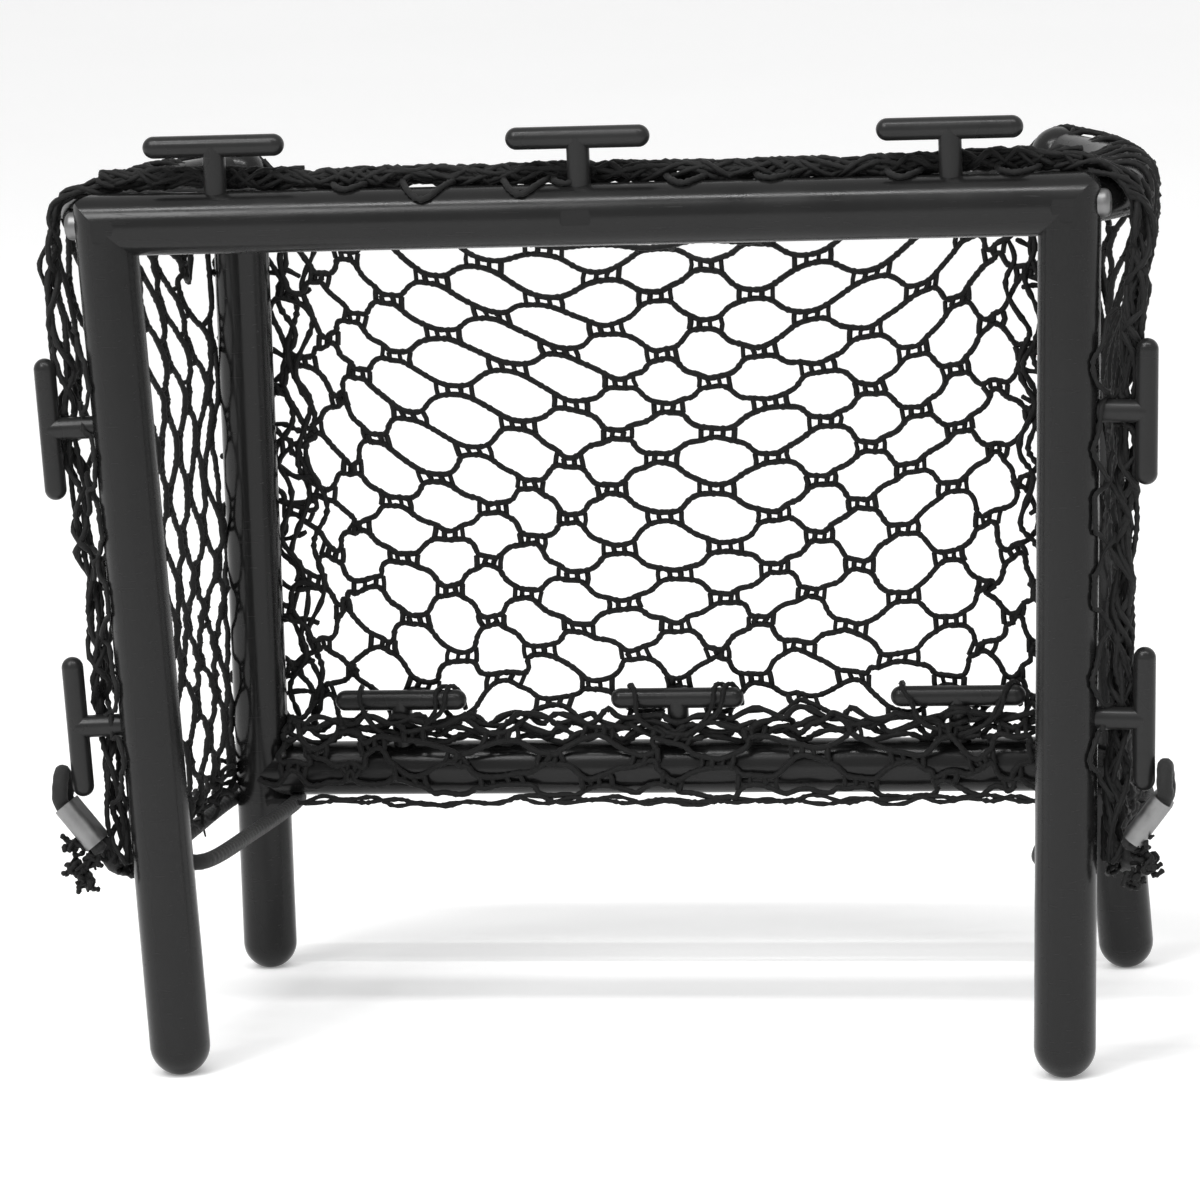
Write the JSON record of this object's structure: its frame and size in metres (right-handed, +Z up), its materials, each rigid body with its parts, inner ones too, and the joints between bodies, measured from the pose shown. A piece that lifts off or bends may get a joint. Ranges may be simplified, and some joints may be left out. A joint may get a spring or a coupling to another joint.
{
  "type": "tabletop hockey goal net",
  "caption": "Small black tabletop hockey goal: round moulded rods form the mouth, top rails and rear legs, with T-shaped hooks holding open hexagonal netting and elastic side cords.",
  "frame": {"origin": "on the playing surface, below the middle of the whole goal's bounding box", "axes": "+Z up, +X towards the right-hand post as a shooter sees it, +Y from the mouth into the goal, so the mouth faces -Y"},
  "size_m": [0.1848, 0.0857, 0.1555],
  "materials": {
    "frame_plastic": "semi-gloss injection-moulded black plastic with faint scratches",
    "hook_plastic": "satin injection-moulded black plastic",
    "dowel_plastic": "plain black plastic, hidden",
    "net": "black knotless knitted polyester netting",
    "elastic_cord": "black braided sleeve over elastic",
    "ferrule_metal": "dull crimped light metal",
    "screw_steel": "bright zinc-plated steel"
  },
  "bodies": {
    "root": {"back_net": "net", "corner_screws": "screw_steel", "crossbar": "frame_plastic", "crossbar_hook_centre": "hook_plastic", "crossbar_hook_left": "hook_plastic", "crossbar_hook_right": "hook_plastic", "left_cord_ferrule": "ferrule_metal", "left_front_post": "frame_plastic", "left_post_hook_lower": "hook_plastic", "left_post_hook_upper": "hook_plastic", "left_rear_leg": "frame_plastic", "left_side_cord": "elastic_cord", "left_side_net": "net", "left_top_rail": "frame_plastic", "net_front_hem": "net", "rail_dowels": "dowel_plastic", "rear_bar": "frame_plastic", "rear_bar_dowels": "dowel_plastic", "rear_bar_hook_centre": "hook_plastic", "rear_bar_hook_left": "hook_plastic", "rear_bar_hook_right": "hook_plastic", "right_cord_ferrule": "ferrule_metal", "right_front_post": "frame_plastic", "right_post_hook_lower": "hook_plastic", "right_post_hook_upper": "hook_plastic", "right_rear_leg": "frame_plastic", "right_side_cord": "elastic_cord", "right_side_net": "net", "right_top_rail": "frame_plastic", "top_net": "net"}
  },
  "joints": []
}
